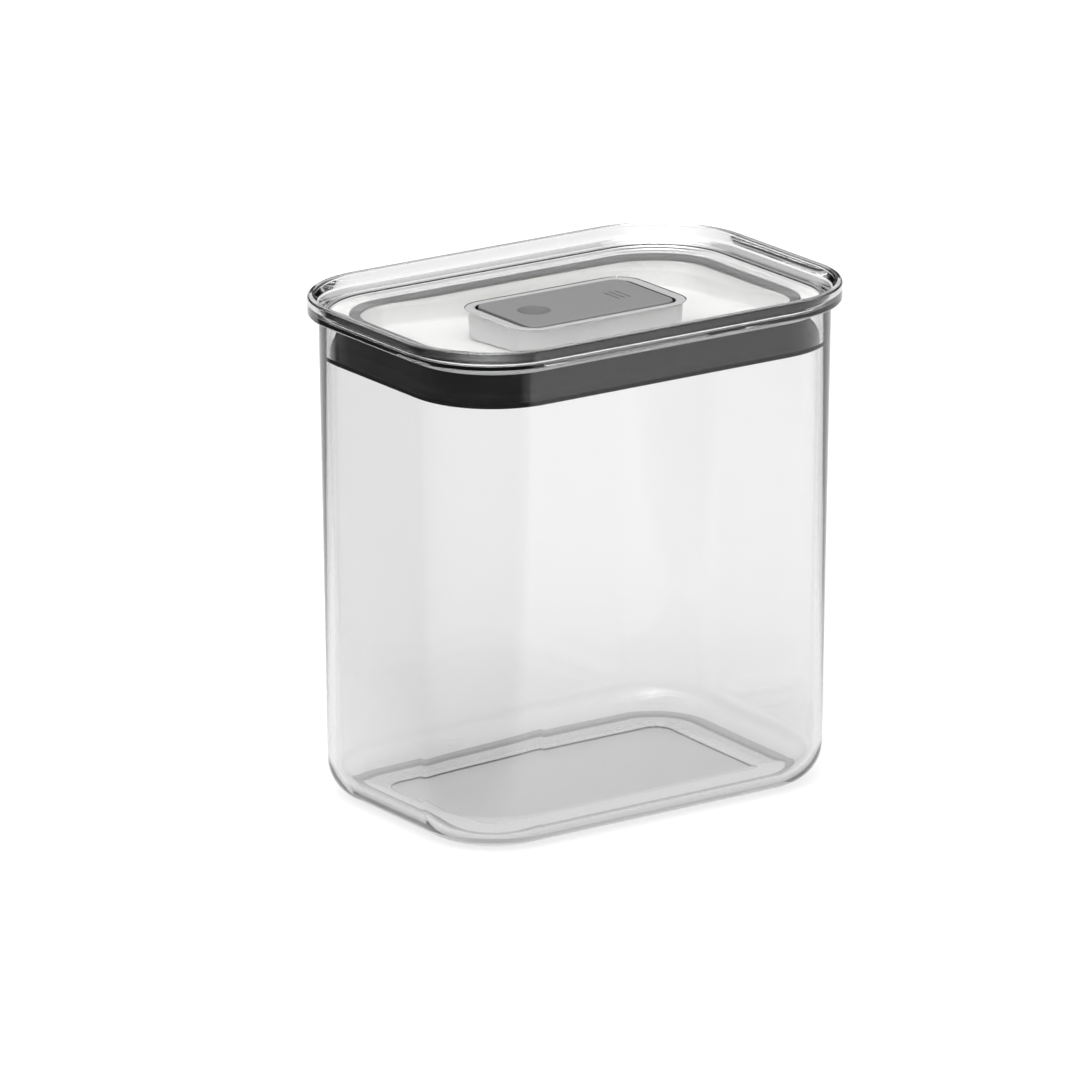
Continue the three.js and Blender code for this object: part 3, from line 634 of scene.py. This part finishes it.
class CANISTER_OT_pan(bpy.types.Operator):
    """Build the white pan that hangs under the cover"""
    bl_idname = "canister.make_pan"
    bl_label = "Pan"

    def execute(self, context):
        s = context.scene.canister_pan
        wall = (PAN_A, PAN_B, s.corner)
        _, pad, _ = well_shapes(context.scene.canister_rocker)
        under = PAN_LOW + s.pad
        floor = under + s.floor
        reach = FLANGE_REACH - PAN_A
        flange_low = floor + 0.7 * MM
        sections = along(pad, [(12 * MM, PAN_LOW)] + round_edge(0.8 * MM, 0.0, PAN_LOW, PAN_LOW + 0.8 * MM, steps=5))
        sections += along(pad, [(0.0, under)])
        sections += along(wall, round_edge(s.fillet, 0.0, under, flange_low - 0.3 * MM))
        sections += along(wall, [(0.0, flange_low), (-reach, flange_low), (-reach, flange_low + s.flange),
                                 (0.0, flange_low + s.flange)])
        edge = 0.3 * MM
        sections += along(wall, round_edge(edge, 0.0, PAN_WALL_TOP, PAN_WALL_TOP - edge, steps=4)[::-1])
        sections += along(wall, round_edge(s.wall - edge, s.wall, PAN_WALL_TOP, PAN_WALL_TOP - edge, steps=4))
        sections += along(wall, round_edge(s.wall, s.wall + s.fillet, floor + s.fillet, floor, hollow=True))
        sections += along(wall, [(s.wall + 16 * MM, floor)])
        make_piece("pan_shell", skin(sections), [finish("white_plastic")], "pan", ["pan"])
        return {"FINISHED"}


class CANISTER_OT_seals(bpy.types.Operator):
    """Build the gasket, the ring seal and the gasket's frame"""
    bl_idname = "canister.make_seals"
    bl_label = "Seals"

    def execute(self, context):
        container, s = context.scene.canister_container, context.scene.canister_pan
        wall = (PAN_A, PAN_B, s.corner)
        mouth = (MOUTH_A, MOUTH_B, container.corner)
        gap = 0.3 * MM
        edge = 0.3 * MM
        frame_outer = inset(mouth, MOUTH_A - FRAME_A)
        rim = along(frame_outer, round_edge(edge, 0.0, FRAME_LOW, FRAME_LOW + edge, steps=4))
        rim += along(frame_outer, round_edge(edge, 0.0, FRAME_TOP, FRAME_TOP - edge, steps=4)[::-1])
        rim += along(wall, [(-gap, FRAME_TOP), (-gap, FRAME_LOW)])
        make_piece("frame_ring", skin(rim, closed=True), [finish("white_plastic")],
                   "lid", ["gasket_frame"])

        ring = along(wall, round_edge(edge, 0.0, SEAL_LOW, SEAL_LOW + edge, steps=4))
        ring += along(wall, round_edge(edge, 0.0, SEAL_TOP, SEAL_TOP - edge, steps=4)[::-1])
        ring += along(wall, round_edge(s.wall - edge, s.wall, SEAL_TOP, SEAL_TOP - edge, steps=4))
        ring += along(wall, round_edge(s.wall - edge, s.wall, SEAL_LOW, SEAL_LOW + edge, steps=4)[::-1])
        seal = make_piece("ring_seal", skin(ring, closed=True), [finish("ring_rubber")],
                          None, ["chamber_seal"])
        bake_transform(seal)

        lip_inset = container.wall + container.draft * (1 - GASKET_LOW / MOUTH) - 0.04 * MM
        body_inset = container.wall + 3.85 * MM
        lip_top = GASKET_LOW + 1.6 * MM
        flare_top = lip_top + 2.4 * MM
        floor = PAN_LOW + s.pad + s.floor
        groove_low, groove_high = floor + 0.4 * MM, floor + 2.2 * MM
        reach = FLANGE_REACH - PAN_A + gap
        soft = 0.35 * MM
        sections = along(mouth, round_edge(body_inset + soft, body_inset, GASKET_TOP, GASKET_TOP - soft, steps=4))
        sections += along(mouth, round_edge(lip_inset, body_inset, lip_top, flare_top, steps=10)[::-1])
        sections += along(mouth, round_edge(lip_inset + soft, lip_inset, GASKET_LOW, GASKET_LOW + soft, steps=4)[::-1])
        sections += along(wall, [(-gap, GASKET_LOW), (-gap, groove_low), (-reach, groove_low),
                                 (-reach, groove_high), (-gap, groove_high), (-gap, GASKET_TOP)])
        gasket = make_piece("gasket", skin(sections, closed=True), [finish("gasket_rubber")],
                            None, ["seal_gasket"])
        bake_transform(gasket)
        return {"FINISHED"}


class CANISTER_OT_rocker(bpy.types.Operator):
    """Build the rocker's cap with its dimple and grip grooves"""
    bl_idname = "canister.make_rocker"
    bl_label = "Rocker"

    def execute(self, context):
        s = context.scene.canister_rocker
        plan = (ROCKER_A, ROCKER_B, s.corner)
        edge, skirt = 0.5 * MM, 1.1 * MM
        under = ROCKER_TOP - 1.4 * MM
        sections = along(plan, [(14 * MM, under), (skirt, under), (skirt, CAP_LOW)])
        sections += along(plan, round_edge(edge / 2, 0.0, CAP_LOW, CAP_LOW + edge / 2, steps=8))
        sections += along(plan, round_edge(edge, 0.0, ROCKER_TOP, ROCKER_TOP - edge, steps=10)[::-1])
        sections += along(plan, [(14 * MM, ROCKER_TOP)])
        cap = make_piece("rocker_top", skin(sections), [finish("cap_matte")], "rocker", ["rocker_cap"])
        radius = (s.dimple_radius ** 2 + s.dimple_depth ** 2) / (2 * s.dimple_depth)
        span = 1.3 * math.asin(s.dimple_radius / radius)
        t = np.linspace(0.01, span, 24)
        bowl = list(zip(radius * np.sin(t), ROCKER_TOP - s.dimple_depth + radius * (1 - np.cos(t))))
        combine(cap, loose("bowl", turned(bowl, s.dimple_from_end - ROCKER_A, 0.0, segments=64)), "DIFFERENCE")
        # Painted shade: the faces of the dimple's bowl take a darker colour than the cap.
        cap.data.materials.append(finish("dimple_painted_shade"))
        centres = np.zeros(len(cap.data.polygons) * 3)
        cap.data.polygons.foreach_get("center", centres)
        x, y, z = centres.reshape(-1, 3).T
        dimple_shade_faces = (np.hypot(x - s.dimple_from_end + ROCKER_A, y) < s.dimple_radius) & (z < ROCKER_TOP - 0.01 * MM)
        dimple_shade_faces &= z > ROCKER_TOP - s.dimple_depth - 0.01 * MM
        cap.data.polygons.foreach_set("material_index", dimple_shade_faces.astype(np.int32))
        for k in range(s.grooves):
            x = ROCKER_A - s.grip_from_end + (k - (s.grooves - 1) / 2) * s.groove_pitch
            half = (s.groove_width / 2, s.groove_length / 2, s.groove_width / 2 - 0.02 * MM)
            low = ROCKER_TOP - s.groove_depth
            groove = along(half, round_edge(0.25 * MM, 0.0, low, low + 0.2 * MM, steps=3) + [(0.0, ROCKER_TOP + MM)])
            verts, faces = skin(groove)
            combine(cap, loose("groove", (verts + [x, 0, 0], faces)), "DIFFERENCE")
        return {"FINISHED"}


class CANISTER_OT_inner_parts(bpy.types.Operator):
    """Finish the posts, pin, screws and other hidden parts"""
    bl_idname = "canister.finish_inner_parts"
    bl_label = "Inner parts"

    def execute(self, context):
        kinds = {
            "draw_post_front": "white_plastic", "draw_post_back": "white_plastic",
            "post_seal_front": "gasket_rubber", "post_seal_back": "gasket_rubber",
            "post_screw_front": "steel", "post_screw_back": "steel",
            "pivot_pin": "steel", "rocker_core": "core_plastic",
        }
        for node, kind in kinds.items():
            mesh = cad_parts[node].data
            mesh.materials.clear()
            mesh.materials.append(finish(kind))
        return {"FINISHED"}


# ------------------------------------------------------------------ operator: the stage

def toward(nodes, link, vector, aim):
    """How far a point or direction lies along an aim, as a dot product."""
    dot = nodes.new("ShaderNodeVectorMath")
    dot.operation = "DOT_PRODUCT"
    dot.inputs[1].default_value = aim
    link(vector, dot.inputs[0])
    return dot.outputs["Value"]


def studio_sky(strength, key):
    """Soft studio light by height of direction: white below the horizon, a dark band above it, bright overhead.

    The band is twice as high towards the flag, and a broad key light hangs overhead to the left.
    """
    world = bpy.data.worlds.new("studio")
    bpy.context.scene.world = world
    world.use_nodes = True
    nodes, link = world.node_tree.nodes, world.node_tree.links.new
    where = nodes.new("ShaderNodeTexCoord").outputs["Generated"]
    split = nodes.new("ShaderNodeSeparateXYZ")
    link(where, split.inputs["Vector"])
    side = maths(nodes, link, "MULTIPLY", toward(nodes, link, where, FLAG), 0.5, clamp=True)
    height = maths(nodes, link, "MULTIPLY", split.outputs["Z"], maths(nodes, link, "SUBTRACT", 1.0, side))
    ramp = nodes.new("ShaderNodeValToRGB")
    stops = ramp.color_ramp.elements
    while len(stops) < len(SKY):
        stops.new(0.5)
    for stop, (level_height, level) in zip(stops, SKY):
        stop.position, stop.color = level_height, (level, level, level, 1.0)
    link(height, ramp.inputs["Fac"])
    link(ramp.outputs["Color"], nodes["Background"].inputs["Color"])
    lobe = maths(nodes, link, "POWER", maths(nodes, link, "MAXIMUM", toward(nodes, link, where, KEY), 0.0), 9.0)
    link(maths(nodes, link, "MULTIPLY_ADD", lobe, key, strength), nodes["Background"].inputs["Strength"])


def table_top(name, shade, glow):
    """A pale lit table; mirror images of it turn dark towards the flag, as a black card would make them."""
    material = bpy.data.materials.new(name)
    material.use_nodes = True
    nodes, link = material.node_tree.nodes, material.node_tree.links.new
    shader = nodes["Principled BSDF"]
    shader.inputs["Roughness"].default_value = 0.9
    shader.inputs["Specular IOR Level"].default_value = 0.0
    shader.inputs["Emission Strength"].default_value = glow
    place = nodes.new("ShaderNodeTexCoord").outputs["Object"]
    beyond = maths(nodes, link, "SUBTRACT", toward(nodes, link, place, FLAG), 0.08)
    flagged = maths(nodes, link, "MULTIPLY", beyond, 20.0, clamp=True)
    mirrored = maths(nodes, link, "GREATER_THAN", nodes.new("ShaderNodeLightPath").outputs["Glossy Depth"], 0.5)
    lit = maths(nodes, link, "SUBTRACT", 1.0, maths(nodes, link, "MULTIPLY", flagged, mirrored))
    for socket, shown in (("Base Color", shade), ("Emission Color", (1.0, 1.0, 1.0))):
        link(blend_colours(nodes, link, [0.12 * c for c in shown], shown, lit), shader.inputs[socket])
    return material


class CANISTER_OT_stage(bpy.types.Operator):
    """Lay the floor and set the light and the camera"""
    bl_idname = "canister.make_stage"
    bl_label = "Stage"

    def execute(self, context):
        scene, s = context.scene, context.scene.canister_stage
        scene.view_settings.view_transform = "Standard"
        scene.cycles.max_bounces = 48
        scene.cycles.transmission_bounces = 48
        scene.cycles.transparent_max_bounces = 48

        middle = Vector((0.0, 0.0, RIM_TOP / 2))
        back = Vector((-math.sin(s.azimuth) * math.cos(s.elevation),
                       -math.cos(s.azimuth) * math.cos(s.elevation), math.sin(s.elevation)))
        camera = bpy.data.cameras.new("camera")
        camera.lens, camera.sensor_width = s.lens, 36.0
        camera.shift_x, camera.shift_y = s.shift_x, s.shift_y
        camera.clip_end = 50.0
        holder = bpy.data.objects.new("camera", camera)
        holder.location = middle + back * s.distance
        holder.rotation_euler = (-back).to_track_quat("-Z", "Y").to_euler()
        scene.collection.objects.link(holder)
        scene.camera = holder

        half = 6.0
        mesh = bpy.data.meshes.new("floor")
        mesh.from_pydata([(-half, -half, 0), (half, -half, 0), (half, half, 0), (-half, half, 0)], [], [(0, 1, 2, 3)])
        mesh.materials.append(table_top("pale_floor", s.floor, s.glow))
        floor = bpy.data.objects.new("floor", mesh)
        scene.collection.objects.link(floor)

        studio_sky(s.sky, s.key)
        return {"FINISHED"}


# ------------------------------------------------------------------ panel and registration

BUILD_ORDER = (
    CANISTER_OT_stage, CANISTER_OT_container, CANISTER_OT_cover, CANISTER_OT_well, CANISTER_OT_pan,
    CANISTER_OT_seals, CANISTER_OT_rocker, CANISTER_OT_inner_parts,
)
SETTINGS = {
    "canister_container": CanisterContainerSettings,
    "canister_cover": CanisterCoverSettings,
    "canister_pan": CanisterPanSettings,
    "canister_rocker": CanisterRockerSettings,
    "canister_stage": CanisterStageSettings,
}


class CANISTER_PT_panel(bpy.types.Panel):
    """Buttons and sizes of the canister"""
    bl_idname = "CANISTER_PT_panel"
    bl_label = "Canister"
    bl_space_type = "VIEW_3D"
    bl_region_type = "UI"
    bl_category = "Canister"

    def draw(self, context):
        for operator in BUILD_ORDER:
            self.layout.operator(operator.bl_idname)
        for name, group in SETTINGS.items():
            box = self.layout.box()
            box.label(text=group.__doc__)
            for field in group.__annotations__:
                box.prop(getattr(context.scene, name), field)


def register():
    for item in (*SETTINGS.values(), *BUILD_ORDER, CANISTER_PT_panel):
        bpy.utils.register_class(item)
    for name, group in SETTINGS.items():
        setattr(bpy.types.Scene, name, PointerProperty(type=group))


def unregister():
    for name in SETTINGS:
        delattr(bpy.types.Scene, name)
    for item in (CANISTER_PT_panel, *reversed(BUILD_ORDER), *reversed(tuple(SETTINGS.values()))):
        bpy.utils.unregister_class(item)


def main():
    register()
    for operator in BUILD_ORDER:
        group, name = operator.bl_idname.split(".")
        getattr(getattr(bpy.ops, group), name)()


if __name__ == "__main__":
    main()
